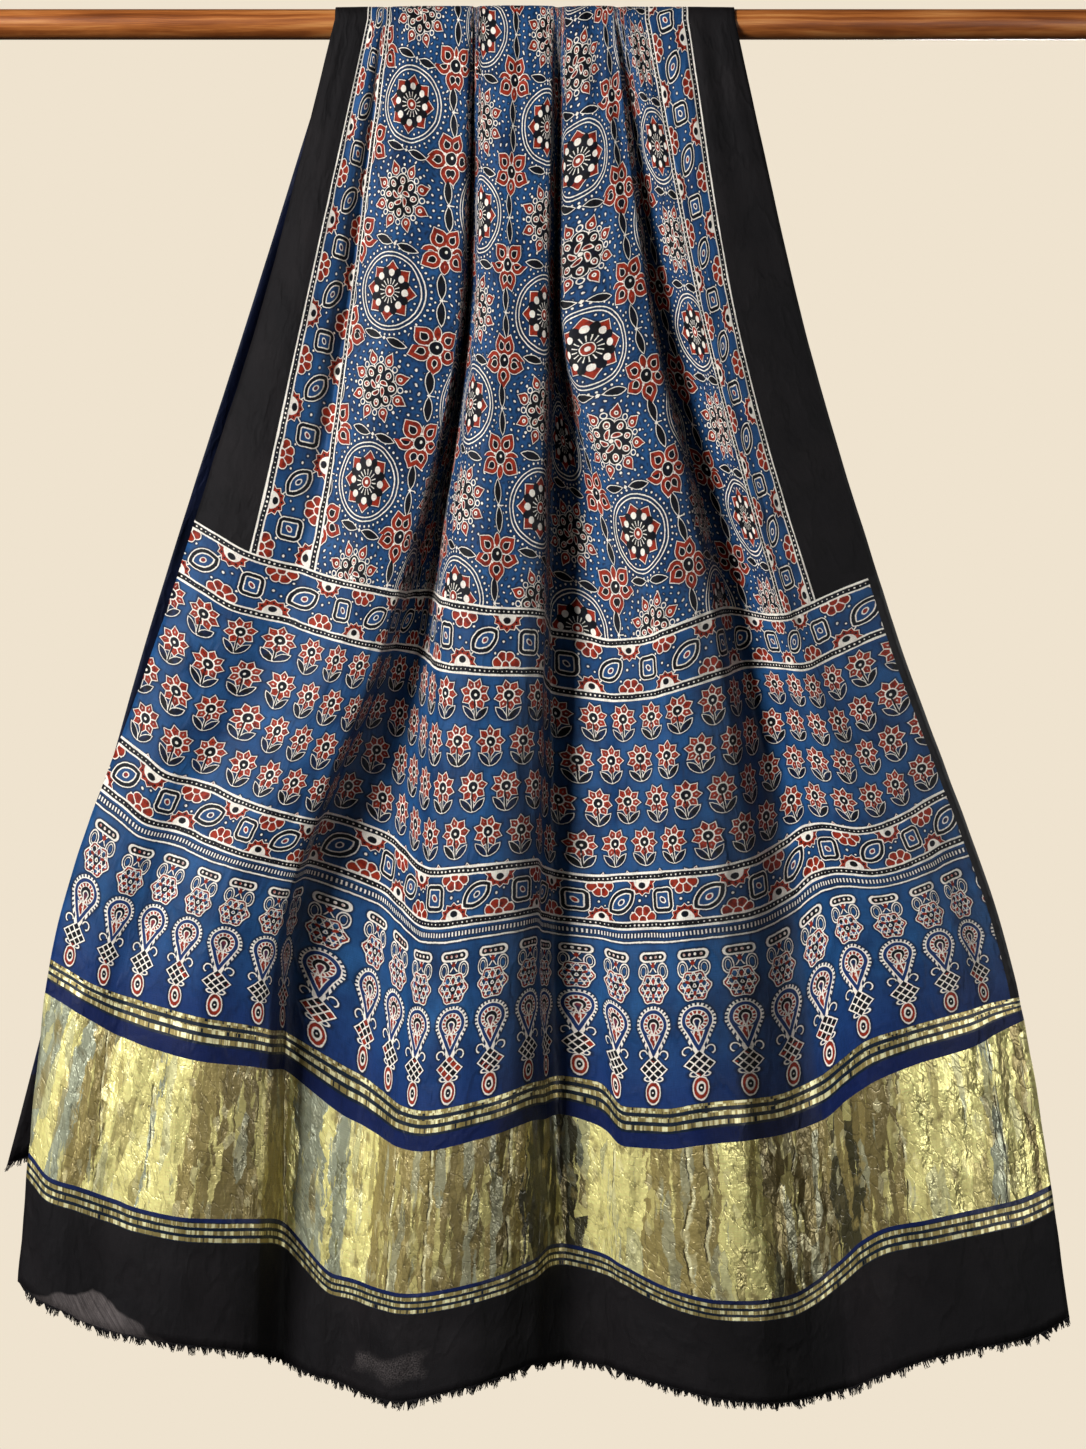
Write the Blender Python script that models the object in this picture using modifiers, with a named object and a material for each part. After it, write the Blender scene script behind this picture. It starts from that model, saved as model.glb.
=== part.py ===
"""Ajrakh cloth hung over a round wooden rod, with frayed ends, at its real size.

Metres, +Z up. The origin is the middle of the rod's axis, and the cloth's front faces -Y.
"""

import math

import bmesh
import bpy

# Rod
ROD_DIAMETER = 0.027
ROD_LENGTH = 1.100
ROD_SIDES = 48
SHARP_ANGLE = math.radians(40)

# Cloth, cut 1120 mm wide as the last row of the fold tables says
CLOTH_LENGTH = 2.360
CLOTH_THICKNESS = 0.0015
PIECE_GAP = 0.0003

# Mesh steps
FRONT_STEPS = 14
WRAP_STEPS = 8
BACK_STEPS = 8
COLUMN_STEP = 0.020
ARC_SAMPLES = 60

# Frayed ends
HEM_GAP = 2 * PIECE_GAP
STRIP_HEIGHT = 0.003
STRAND_LENGTH = 0.008
STRAND_TAPER = 0.5
STRAND_THICKNESS = 0.0012
FRONT_STRANDS = 84
BACK_STRANDS = 60
FRAYED_HEIGHT = HEM_GAP + STRIP_HEIGHT + STRAND_LENGTH

# Waves that make the strands uneven: share of the length, turn from strand to strand
STRAND_WAVES = ((0.22, 2.3), (0.12, 5.1))

# The radius of the cloth's middle surface where its flat facets lie on the rod
HALF_WRAP_STEP = math.pi / WRAP_STEPS / 2
WRAP_RADIUS = (ROD_DIAMETER / 2 + PIECE_GAP + CLOTH_THICKNESS / 2) / math.cos(HALF_WRAP_STEP)

# Drop below the rod's axis at which each set of fold sizes is given, in mm
FRONT_LEVELS = (0, 260, 540, 890, 1220)
BACK_LEVELS = (0, 260, 600, 1060)

# A row for each fold line of the front, in mm: its place across the flat cloth, its lift off the
# rod, its place to the right of the middle at each level, its depth in front of the rod's axis at
# each level below the rod, and the drop of its frayed ends
FRONT_FOLDS = (
    # across, lift, (place at each level), (depth below the rod), drop
    (0, 0.5, (-192, -258, -345, -456, -487), (16, 20, 25, 25), 1169),
    (30, 1.0, (-177, -237, -314, -432, -463), (24, 30, 35, 38), 1183),
    (60, 1.5, (-162, -217, -281, -406, -438), (26, 32, 40, 45), 1192),
    (95, 1.0, (-149, -192, -246, -380, -407), (24, 28, 38, 45), 1206),
    (110, 0.2, (-146, -182, -229, -367, -392), (10, 28, 42, 47), 1209),
    (125, 1.5, (-141, -173, -213, -354, -378), (28, 36, 48, 50), 1211),
    (185, 3.5, (-104, -130, -169, -302, -322), (40, 52, 62, 62), 1217),
    (250, 3.0, (-66, -74, -133, -246, -261), (36, 48, 50, 46), 1229),
    (290, 0.5, (-64, -72, -129, -236, -240), (2, 10, 12, 14), 1245),
    (355, 0.2, (-62, -69, -110, -164, -196), (-12, 2, 8, 20), 1260),
    (460, 3.0, (-58, -62, -87, -103, -129), (38, 55, 62, 62), 1267),
    (522, 4.5, (-24, -33, -43, -54, -65), (48, 66, 74, 72), 1251),
    (585, 3.0, (9, 6, 0, -7, -9), (42, 50, 48, 40), 1242),
    (612, 0.5, (12, 8, 3, 0, 6), (16, 22, 24, 20), 1245),
    (640, 0.2, (14, 10, 7, 12, 25), (-8, 0, 8, 6), 1247),
    (675, 0.5, (16, 13, 34, 49, 55), (-10, 14, 20, 8), 1252),
    (715, 1.0, (18, 15, 63, 77, 73), (4, 36, 42, 20), 1255),
    (755, 2.0, (21, 18, 89, 109, 113), (30, 46, 56, 45), 1259),
    (785, 3.5, (39, 52, 105, 135, 155), (36, 58, 66, 60), 1266),
    (815, 4.0, (54, 75, 131, 165, 189), (38, 56, 60, 52), 1272),
    (845, 2.5, (65, 96, 153, 197, 226), (34, 48, 40, 30), 1278),
    (900, 0.2, (69, 103, 174, 247, 280), (-8, -2, 8, 4), 1274),
    (928, 1.0, (74, 113, 192, 267, 302), (8, 14, 26, 24), 1258),
    (955, 2.0, (79, 126, 203, 285, 324), (22, 30, 44, 40), 1245),
    (995, 1.5, (94, 141, 214, 324, 360), (30, 42, 52, 46), 1232),
    (1060, 1.5, (134, 174, 250, 385, 425), (26, 34, 44, 42), 1220),
    (1090, 1.0, (155, 205, 281, 406, 456), (22, 28, 36, 34), 1215),
    (1120, 0.5, (177, 235, 316, 434, 487), (16, 20, 26, 26), 1202),
)

# A row for each fold line of the back: its place across the flat cloth, then its place and its
# depth behind the rod's axis at each level below the rod
BACK_FOLDS = (
    # across, (place below the rod), (depth below the rod)
    (0, (-275, -382, -503), (22, 24, 24)),
    (80, (-236, -326, -428), (40, 46, 44)),
    (150, (-214, -294, -382), (18, 20, 24)),
    (230, (-168, -228, -300), (42, 48, 46)),
    (300, (-150, -204, -262), (18, 20, 26)),
    (380, (-106, -146, -186), (44, 50, 48)),
    (470, (-66, -92, -116), (20, 22, 28)),
    (540, (-48, -62, -74), (44, 50, 48)),
    (620, (-2, 0, 4), (18, 20, 26)),
    (700, (28, 38, 56), (44, 50, 46)),
    (790, (64, 100, 138), (20, 24, 30)),
    (860, (96, 140, 196), (42, 48, 46)),
    (940, (130, 190, 262), (18, 20, 26)),
    (1030, (184, 262, 356), (38, 42, 40)),
    (1120, (232, 330, 450), (22, 24, 26)),
)


def smooth_through(places, values, at):
    """Read a smooth curve that never overshoots its points (a monotone cubic)."""
    last = len(places) - 1
    widths = [places[i + 1] - places[i] for i in range(last)]
    slopes = [(values[i + 1] - values[i]) / widths[i] for i in range(last)]
    tangents = [slopes[0]]
    for i in range(1, last):
        if slopes[i - 1] * slopes[i] <= 0:
            tangents.append(0.0)
        else:
            before = 2 * widths[i] + widths[i - 1]
            after = widths[i] + 2 * widths[i - 1]
            tangents.append((before + after) / (before / slopes[i - 1] + after / slopes[i]))
    tangents.append(slopes[-1])
    if at >= places[-1]:
        return values[-1] + tangents[-1] * (at - places[-1])
    cell = max(i for i in range(last) if i == 0 or places[i] <= at)
    t = (at - places[cell]) / widths[cell]
    start = (1 + 2 * t) * (1 - t) ** 2 * values[cell] + t * (1 - t) ** 2 * widths[cell] * tangents[cell]
    end = t * t * (3 - 2 * t) * values[cell + 1] - t * t * (1 - t) * widths[cell] * tangents[cell + 1]
    return start + end


def front_column(across):
    """Return the levels' places and depths, the wrap radius and the hem drop at one place across."""
    spots = [row[0] for row in FRONT_FOLDS]
    levels = range(len(FRONT_LEVELS))
    radius = 1000 * WRAP_RADIUS + smooth_through(spots, [row[1] for row in FRONT_FOLDS], across)
    places = [smooth_through(spots, [row[2][i] for row in FRONT_FOLDS], across) for i in levels]
    depths = [smooth_through(spots, [row[3][i - 1] for row in FRONT_FOLDS], across) for i in levels[1:]]
    hem = smooth_through(spots, [row[4] for row in FRONT_FOLDS], across) - 1000 * FRAYED_HEIGHT
    return places, [radius] + depths, radius, hem


def back_column(across, top_place, radius):
    """Return the levels' places and depths of the back at one place across."""
    spots = [row[0] for row in BACK_FOLDS]
    levels = range(len(BACK_LEVELS) - 1)
    places = [smooth_through(spots, [row[1][i] for row in BACK_FOLDS], across) for i in levels]
    depths = [smooth_through(spots, [row[2][i] for row in BACK_FOLDS], across) for i in levels]
    return [top_place] + places, [radius] + depths


def hanging_point(levels, places, depths, drop, side):
    """Return the point in metres at a drop in mm, on the front (side -1) or the back (side 1)."""
    place = smooth_through(levels, places, drop)
    depth = smooth_through(levels, depths, drop)
    return (place / 1000, side * depth / 1000, -drop / 1000)


def hanging_arc(levels, places, depths, drop):
    """Return the length in mm of the hanging line from the rod's axis down to a drop."""
    points = [
        hanging_point(levels, places, depths, drop * i / ARC_SAMPLES, 1) for i in range(ARC_SAMPLES + 1)
    ]
    return 1000 * sum(math.dist(a, b) for a, b in zip(points, points[1:]))


def cloth_column(across):
    """Return one line of points down the front, over the rod and down the back."""
    places, depths, radius, hem = front_column(across)
    points = [
        hanging_point(FRONT_LEVELS, places, depths, hem * (1 - i / FRONT_STEPS), -1)
        for i in range(FRONT_STEPS)
    ]
    for i in range(WRAP_STEPS + 1):
        angle = math.pi * i / WRAP_STEPS
        points.append((places[0] / 1000, -radius / 1000 * math.cos(angle), radius / 1000 * math.sin(angle)))
    used = hanging_arc(FRONT_LEVELS, places, depths, hem) + math.pi * radius
    left = 1000 * CLOTH_LENGTH - used
    back_places, back_depths = back_column(across, places[0], radius)
    slant = hanging_arc(BACK_LEVELS, back_places, back_depths, left) / left
    back_hem = left / slant
    for i in range(1, BACK_STEPS + 1):
        drop = back_hem * i / BACK_STEPS
        points.append(hanging_point(BACK_LEVELS, back_places, back_depths, drop, 1))
    return points


def column_spots():
    """Return the places across the flat cloth at which it has a line of points, in mm."""
    spots = []
    rows = [row[0] for row in FRONT_FOLDS]
    for start, end in zip(rows, rows[1:]):
        steps = max(2, round((end - start) / (1000 * COLUMN_STEP)))
        spots += [start + (end - start) * i / steps for i in range(steps)]
    return spots + [rows[-1]]


def plain_material(name, colour, roughness):
    """Return a Principled material of one colour."""
    material = bpy.data.materials.new(name)
    material.use_nodes = True
    shader = material.node_tree.nodes["Principled BSDF"]
    shader.inputs["Base Color"].default_value = (*colour, 1.0)
    shader.inputs["Roughness"].default_value = roughness
    shader.inputs["Metallic"].default_value = 0.0
    return material


def add_to_part(obj, material, part):
    """Give an object its material and move it into the part's collection."""
    obj.data.materials.clear()
    obj.data.materials.append(material)
    for holder in list(obj.users_collection):
        holder.objects.unlink(obj)
    part.objects.link(obj)


def sheet_object(name, mesh_builder, thickness):
    """Return an object from an open surface, thickened evenly about it."""
    mesh = bpy.data.meshes.new(name)
    mesh_builder.to_mesh(mesh)
    mesh_builder.free()
    mesh.shade_smooth()
    obj = bpy.data.objects.new(name, mesh)
    bpy.context.scene.collection.objects.link(obj)
    shell = obj.modifiers.new("thickness", "SOLIDIFY")
    shell.thickness = thickness
    shell.offset = 0.0
    return obj


def build_rod(part):
    """Make the rod, with its axis along X through the origin."""
    bpy.ops.mesh.primitive_cylinder_add(
        vertices=ROD_SIDES, radius=ROD_DIAMETER / 2, depth=ROD_LENGTH, rotation=(0, math.pi / 2, 0)
    )
    rod = bpy.context.object
    rod.name = rod.data.name = "rod"
    rod.data.shade_smooth()
    rod.data.set_sharp_from_angle(angle=SHARP_ANGLE)
    add_to_part(rod, plain_material("brown wood", (0.27, 0.10, 0.03), 0.28), part)


def build_cloth(part):
    """Make the draped cloth from a flat grid whose lines are laid along the folds."""
    columns = [cloth_column(across) for across in column_spots()]
    rows = len(columns[0])
    grid = bmesh.new()
    bmesh.ops.create_grid(grid, x_segments=len(columns) - 1, y_segments=rows - 1, size=0.5)
    grid.verts.ensure_lookup_table()
    for vert in grid.verts:
        column = round((vert.co.x + 0.5) * (len(columns) - 1))
        row = round((vert.co.y + 0.5) * (rows - 1))
        vert.co = columns[column][row]
    cloth = sheet_object("cloth", grid, CLOTH_THICKNESS)
    add_to_part(cloth, plain_material("printed cloth", (0.025, 0.09, 0.27), 0.45), part)
    return columns


def hem_frame(columns, end, before_end):
    """Return the hem's line of points, and the direction at each in which the cloth runs out."""
    line = [column[end] for column in columns]
    runs = []
    for column in columns:
        run = [a - b for a, b in zip(column[end], column[before_end])]
        length = math.hypot(*run)
        runs.append([value / length for value in run])
    return line, runs


def along_hem(line, runs, count):
    """Divide the hem's line evenly into count stretches, keeping to its own chords."""
    lengths = [0.0]
    for a, b in zip(line, line[1:]):
        lengths.append(lengths[-1] + math.dist(a, b))
    stops = sorted({lengths[-1] * i / count for i in range(count + 1)})
    divided = []
    cell = 0
    for stop in stops:
        while cell < len(line) - 2 and lengths[cell + 1] < stop:
            cell += 1
        t = (stop - lengths[cell]) / (lengths[cell + 1] - lengths[cell])
        spot = [a + (b - a) * t for a, b in zip(line[cell], line[cell + 1])]
        run = [a + (b - a) * t for a, b in zip(runs[cell], runs[cell + 1])]
        divided.append((spot, run))
    return divided


def strand_length(index):
    """Return an uneven length for one strand."""
    return STRAND_LENGTH * (1 + sum(share * math.sin(turn * index) for share, turn in STRAND_WAVES))


def moved(spot, run, distance):
    """Return the spot moved along its run."""
    return tuple(a + b * distance for a, b in zip(spot, run))


def build_fringe(name, line, runs, strands, part, material):
    """Make a narrow strip just below the hem, with strands that hang from it."""
    stops = along_hem(line, runs, 2 * strands + 1)
    surface = bmesh.new()
    tops = [surface.verts.new(moved(spot, run, HEM_GAP)) for spot, run in stops]
    roots = [surface.verts.new(moved(spot, run, HEM_GAP + STRIP_HEIGHT)) for spot, run in stops]
    for i in range(len(stops) - 1):
        surface.faces.new((tops[i], tops[i + 1], roots[i + 1], roots[i]))
    for i in range(1, len(stops) - 1, 2):
        reach = HEM_GAP + STRIP_HEIGHT + strand_length(i)
        left_tip = moved(*stops[i], reach)
        right_tip = moved(*stops[i + 1], reach)
        middle = [(a + b) / 2 for a, b in zip(left_tip, right_tip)]
        tips = [
            surface.verts.new([m + (a - m) * STRAND_TAPER for a, m in zip(tip, middle)])
            for tip in (left_tip, right_tip)
        ]
        surface.faces.new((roots[i], roots[i + 1], tips[1], tips[0]))
    bmesh.ops.recalc_face_normals(surface, faces=surface.faces)
    fringe = sheet_object(name, surface, STRAND_THICKNESS)
    add_to_part(fringe, material, part)


def main():
    """Clear the scene and build every piece."""
    for old in list(bpy.data.objects):
        bpy.data.objects.remove(old)
    part = bpy.data.collections.new("ajrakh cloth on a rod")
    bpy.context.scene.collection.children.link(part)
    build_rod(part)
    columns = build_cloth(part)
    threads = plain_material("black threads", (0.012, 0.011, 0.012), 0.7)
    build_fringe("fringe_front", *hem_frame(columns, 0, 1), FRONT_STRANDS, part, threads)
    build_fringe("fringe_back", *hem_frame(columns, -1, -2), BACK_STRANDS, part, threads)


main()
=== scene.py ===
"""Looks of the ajrakh cloth on its rod: the draped sheet, its dyed and woven finish with painted
shade along its creases and painted reflections on its gold, the frayed ends, the wood of the rod,
and a plain pale studio.

Tables and prints are in mm, and meshes in metres. The origin is the middle of the rod's axis,
and the cloth's front faces -Y. "Across" runs over the width of the flat cloth from its left edge,
and "along" runs up the cloth from its front end, over the rod and down the back.
"""

import math
import random

import bpy
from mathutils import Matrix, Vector, noise

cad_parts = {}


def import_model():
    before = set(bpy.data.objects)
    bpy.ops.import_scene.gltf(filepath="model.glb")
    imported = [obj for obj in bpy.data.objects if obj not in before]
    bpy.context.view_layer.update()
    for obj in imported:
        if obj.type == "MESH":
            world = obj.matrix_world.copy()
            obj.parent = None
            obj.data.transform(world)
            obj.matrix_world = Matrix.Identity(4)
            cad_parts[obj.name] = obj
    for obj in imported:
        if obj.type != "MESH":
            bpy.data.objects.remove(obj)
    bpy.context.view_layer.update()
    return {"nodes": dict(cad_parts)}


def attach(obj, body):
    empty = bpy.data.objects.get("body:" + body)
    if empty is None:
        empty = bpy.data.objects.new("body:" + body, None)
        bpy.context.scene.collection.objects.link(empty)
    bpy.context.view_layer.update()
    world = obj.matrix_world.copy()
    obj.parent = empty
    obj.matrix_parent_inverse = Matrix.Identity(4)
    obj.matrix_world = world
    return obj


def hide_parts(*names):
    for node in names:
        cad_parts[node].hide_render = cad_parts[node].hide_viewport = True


# Rod and cloth, as in the part's source
ROD_RADIUS = 13.5
CLOTH_WIDTH = 1120
CLOTH_LENGTH = 2360
SHEET_THICKNESS = 0.6
WRAP_RADIUS = 14.84
FRONT_LEVELS = (0, 260, 540, 890, 1220)
BACK_LEVELS = (0, 260, 600, 1060)

# Share of the fold lines' lift that is left where the cloth lies pressed on top of the rod
LIFT_KEPT = 0.4

# How far along the cloth the small pleats at the rod reach
GATHER_REACH = 330

# How far below the rod's top the small creases come to their full height
CREASE_FADE = 60

# Mesh steps
COLUMN_STEP = 5
FRONT_ROW_STEP = 9.5
BACK_ROW_STEP = 20
FIELD_ROWS = 48
WRAP_ROWS = 14
BACK_FIELD_ROWS = 22
ARC_SAMPLES = 60

# Frayed ends
HEM_RISE = 7.0
FRINGE_THREADS = 1600
THREAD_STEPS = 4
THREAD_SIDES = 3
THREAD_RADIUS = 0.65
THREAD_TAPER = 0.5
THREAD_SPACING = 0.7
THREAD_ROOT = 1.2
THREAD_SHARE = (0.72, 1.04)
THREAD_BEND = 1.2
THREAD_SWAY = 0.9
STRAY_CHANCE = 0.05
STRAY_BEND = 2.5
TUFT_SIZE = (5, 13)
TUFT_REACH = (4.5, 9.5)
TUFT_PULL = (0.3, 0.8)
TUFT_LEAN = 0.22
TUFT_OUT = 0.3

# Margin of the bake map, as a share of its width
BAKE_MARGIN = 0.002

# Camera and studio, in metres, and the camera's sensor in mm
CAMERA_DISTANCE = 1.9
CAMERA_HEIGHT = -0.651
VIEW_HEIGHT = 1.3476
SENSOR_HEIGHT = 36
STUDIO_SIDES = 64
STUDIO_PROFILE = (
    # radius, height
    (0.01, -2.2),
    (5.0, -2.2),
    (6.6, -1.9),
    (7.7, -0.9),
    (8.0, 0.6),
    (8.0, 3.5),
    (7.2, 6.0),
    (5.0, 8.0),
    (0.01, 9.0),
)

# A row for each fold line of the front: its place across the flat cloth, its lift off the rod,
# its place to the right of the middle at each level, its depth in front of the rod's axis at each
# level below the rod, and the drop of its frayed ends
FRONT_FOLDS = (
    # across, lift, (place at each level), (depth below the rod), drop
    (0, 0.5, (-192, -258, -345, -456, -487), (16, 20, 25, 25), 1169),
    (30, 1.0, (-177, -237, -314, -432, -463), (24, 30, 35, 38), 1183),
    (60, 1.5, (-162, -217, -281, -406, -438), (26, 32, 40, 45), 1192),
    (95, 1.0, (-149, -192, -246, -380, -407), (24, 28, 38, 45), 1206),
    (110, 0.2, (-146, -182, -229, -367, -392), (10, 28, 42, 47), 1209),
    (125, 1.5, (-141, -173, -213, -354, -378), (28, 36, 48, 50), 1211),
    (185, 3.5, (-104, -130, -169, -302, -322), (40, 52, 62, 62), 1217),
    (250, 3.0, (-66, -74, -133, -246, -261), (36, 48, 50, 46), 1229),
    (290, 0.5, (-64, -72, -129, -236, -240), (2, 10, 12, 14), 1245),
    (355, 0.2, (-62, -69, -110, -164, -196), (-12, 2, 8, 20), 1260),
    (460, 3.0, (-58, -62, -87, -103, -129), (38, 55, 62, 62), 1267),
    (522, 4.5, (-24, -33, -43, -54, -65), (48, 66, 74, 72), 1251),
    (585, 3.0, (9, 6, 0, -7, -9), (42, 50, 48, 40), 1242),
    (612, 0.5, (12, 8, 3, 0, 6), (16, 22, 24, 20), 1245),
    (640, 0.2, (14, 10, 7, 12, 25), (-8, 0, 8, 6), 1247),
    (675, 0.5, (16, 13, 34, 49, 55), (-10, 14, 20, 8), 1252),
    (715, 1.0, (18, 15, 63, 77, 73), (4, 36, 42, 20), 1255),
    (755, 2.0, (21, 18, 89, 109, 113), (30, 46, 56, 45), 1259),
    (785, 3.5, (39, 52, 105, 135, 155), (36, 58, 66, 60), 1266),
    (815, 4.0, (54, 75, 131, 165, 189), (38, 56, 60, 52), 1272),
    (845, 2.5, (65, 96, 153, 197, 226), (34, 48, 40, 30), 1278),
    (900, 0.2, (69, 103, 174, 247, 280), (-8, -2, 8, 4), 1274),
    (928, 1.0, (74, 113, 192, 267, 302), (8, 14, 26, 24), 1258),
    (955, 2.0, (79, 126, 203, 285, 324), (22, 30, 44, 40), 1245),
    (995, 1.5, (94, 141, 214, 324, 360), (30, 42, 52, 46), 1232),
    (1060, 1.5, (134, 174, 250, 385, 425), (26, 34, 44, 42), 1220),
    (1090, 1.0, (155, 205, 281, 406, 456), (22, 28, 36, 34), 1215),
    (1120, 0.5, (177, 235, 316, 434, 487), (16, 20, 26, 26), 1202),
)

# A row for each fold line of the back: its place across the flat cloth, then its place and its
# depth behind the rod's axis at each level below the rod
BACK_FOLDS = (
    # across, (place below the rod), (depth below the rod)
    (0, (-275, -382, -503), (22, 24, 24)),
    (80, (-236, -326, -428), (40, 46, 44)),
    (150, (-214, -294, -382), (18, 20, 24)),
    (230, (-168, -228, -300), (42, 48, 46)),
    (300, (-150, -204, -262), (18, 20, 26)),
    (380, (-106, -146, -186), (44, 50, 48)),
    (470, (-66, -92, -116), (20, 22, 28)),
    (540, (-48, -62, -74), (44, 50, 48)),
    (620, (-2, 0, 4), (18, 20, 26)),
    (700, (28, 38, 56), (44, 50, 46)),
    (790, (64, 100, 138), (20, 24, 30)),
    (860, (96, 140, 196), (42, 48, 46)),
    (940, (130, 190, 262), (18, 20, 26)),
    (1030, (184, 262, 356), (38, 42, 40)),
    (1120, (232, 330, 450), (22, 24, 26)),
)

# Where the print's cross lines lie along the cloth
GOLD_BOTTOM = 107
GOLD_TOP = 247
STRIPES_TOP = 287
LOWER_BAND_BOTTOM = 453
LOWER_BAND_TOP = 508
UPPER_BAND_BOTTOM = 677
UPPER_BAND_TOP = 740
PRINT_ALONG = (0, GOLD_BOTTOM, GOLD_TOP, STRIPES_TOP, LOWER_BAND_TOP, UPPER_BAND_TOP)
ROD_ALONG = 1270

# A row for each place across: the drops at which the print's cross lines hang
PRINT_LINES = (
    # across, upper band top, lower band top, stripes top, gold top, gold bottom
    (0, 463, 661, 866, 897, 1044),
    (30, 478, 677, 877, 908, 1063),
    (60, 493, 695, 889, 921, 1070),
    (95, 502, 702, 898, 935, 1080),
    (110, 505, 706, 901, 939, 1084),
    (125, 511, 712, 904, 943, 1088),
    (185, 523, 726, 915, 954, 1095),
    (250, 529, 736, 927, 963, 1099),
    (290, 527, 732, 935, 971, 1111),
    (355, 525, 751, 972, 1016, 1158),
    (460, 537, 780, 998, 1035, 1163),
    (522, 545, 775, 987, 1022, 1151),
    (585, 547, 772, 975, 1010, 1137),
    (612, 554, 780, 977, 1013, 1130),
    (640, 560, 785, 976, 1012, 1132),
    (675, 566, 789, 980, 1021, 1139),
    (715, 573, 786, 999, 1036, 1147),
    (755, 571, 783, 998, 1035, 1161),
    (785, 565, 781, 991, 1029, 1169),
    (815, 555, 778, 989, 1027, 1172),
    (845, 547, 773, 990, 1027, 1174),
    (900, 541, 757, 976, 1016, 1150),
    (928, 546, 743, 957, 995, 1125),
    (955, 549, 740, 939, 978, 1109),
    (995, 550, 744, 925, 960, 1100),
    (1060, 537, 730, 910, 943, 1088),
    (1090, 525, 719, 905, 933, 1084),
    (1120, 513, 707, 901, 922, 1073),
)

# A row for each creased panel of the gold tissue: the place across where it starts, its tone, and
# how far its middle bulges. A panel's tone is painted light on the foil: the lightest panels are
# painted highlights, the darkest are painted shade in the valleys, and the dull, olive and grey ones
# are painted duller and bluish reflections.
GOLD_PANELS = (
    # across, tone, bulge
    (0, "grey", 1.0),
    (14, "highlit", 1.6),
    (38, "grey", 1.0),
    (56, "dull", 1.4),
    (81, "highlit", 2.2),
    (134, "grey", 0.6),
    (139, "highlit", 1.8),
    (172, "dull", 1.4),
    (200, "olive", 1.6),
    (246, "dull", 1.6),
    (290, "highlit", 1.6),
    (306, "grey", 1.2),
    (330, "highlit", 0.8),
    (339, "grey", 0.8),
    (355, "highlit", 1.8),
    (395, "dull", 1.8),
    (480, "olive", 1.8),
    (553, "dull", 0.8),
    (570, "valley_shade", 1.2),
    (602, "valley_shade", 1.6),
    (638, "valley_shade", 0.8),
    (655, "highlit", 2.4),
    (732, "dull", 1.8),
    (793, "highlit", 1.8),
    (834, "olive", 2.0),
    (897, "valley_shade", 1.2),
    (928, "olive", 1.6),
    (980, "highlit", 2.2),
    (1062, "grey", 0.8),
    (1072, "highlit", 0.8),
    (1100, "dull", 0.8),
    (1108, "highlit", 0.6),
)

# Places across of the sharpest crease lines of the gold tissue, drawn in painted shade with a painted
# highlight beside each
GOLD_CREASES = (81, 136, 287, 433, 476, 553, 700, 771, 785, 862, 980, 1076)

# The printed zones up to the field, and across the cloth beside the field, with their far edges
END_ZONES = (
    ("black end", 86),
    ("lower stripes", GOLD_BOTTOM),
    ("gold tissue", GOLD_TOP),
    ("navy strip", 262),
    ("upper stripes", STRIPES_TOP),
    ("pendants", 437),
    ("ticks", LOWER_BAND_BOTTOM),
    ("cross band", LOWER_BAND_TOP),
    ("sprigs", UPPER_BAND_BOTTOM),
    ("cross band", UPPER_BAND_TOP),
)
FIELD_ZONES = (
    ("black border", 60),
    ("side band", 125),
    ("field", 995),
    ("side band", 1060),
    ("black border", CLOTH_WIDTH),
)
END_EDGES = (0, *[edge for _, edge in END_ZONES])
FIELD_EDGES = (0, *[edge for _, edge in FIELD_ZONES])
BACK_BAND_ALONG = CLOTH_LENGTH - UPPER_BAND_TOP
SELVEDGE = 1111

# Middles and half widths of the patterned bands
LEFT_BAND_MIDDLE = (FIELD_EDGES[1] + FIELD_EDGES[2]) / 2
RIGHT_BAND_MIDDLE = (FIELD_EDGES[3] + FIELD_EDGES[4]) / 2
SIDE_BAND_HALF = (FIELD_EDGES[2] - FIELD_EDGES[1]) / 2
LOWER_BAND_MIDDLE = (LOWER_BAND_BOTTOM + LOWER_BAND_TOP) / 2
LOWER_BAND_HALF = (LOWER_BAND_TOP - LOWER_BAND_BOTTOM) / 2
UPPER_BAND_MIDDLE = (UPPER_BAND_BOTTOM + UPPER_BAND_TOP) / 2
UPPER_BAND_HALF = (UPPER_BAND_TOP - UPPER_BAND_BOTTOM) / 2

# Repeats of the print
FIELD_ORIGIN = (172, 743)
FIELD_PITCH = 100
FIELD_ROW = 88.2
DOT_PITCH = 8.0
DOT_ROW = 7.0
BAND_PITCH = 44
BEADING_DEPTH = 8.6
BEAD_PITCH = 4.6
SPRIG_PITCH = 36
SPRIG_ROW = 41
TICK_PITCH = 3.7
PENDANT_PITCH = 42.4

# A distance that takes a shape out of the print, and the share of a slanting step each way
FAR = 99
SLOPE = 0.7071


def smooth_through(places, values, at):
    """Read a smooth curve that never overshoots its points (a monotone cubic)."""
    last = len(places) - 1
    widths = [places[i + 1] - places[i] for i in range(last)]
    slopes = [(values[i + 1] - values[i]) / widths[i] for i in range(last)]
    tangents = [slopes[0]]
    for i in range(1, last):
        if slopes[i - 1] * slopes[i] <= 0:
            tangents.append(0.0)
        else:
            before = 2 * widths[i] + widths[i - 1]
            after = widths[i] + 2 * widths[i - 1]
            tangents.append((before + after) / (before / slopes[i - 1] + after / slopes[i]))
    tangents.append(slopes[-1])
    if at >= places[-1]:
        return values[-1] + tangents[-1] * (at - places[-1])
    cell = max(i for i in range(last) if i == 0 or places[i] <= at)
    t = (at - places[cell]) / widths[cell]
    start = (1 + 2 * t) * (1 - t) ** 2 * values[cell] + t * (1 - t) ** 2 * widths[cell] * tangents[cell]
    end = t * t * (3 - 2 * t) * values[cell + 1] - t * t * (1 - t) * widths[cell] * tangents[cell + 1]
    return start + end


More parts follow.
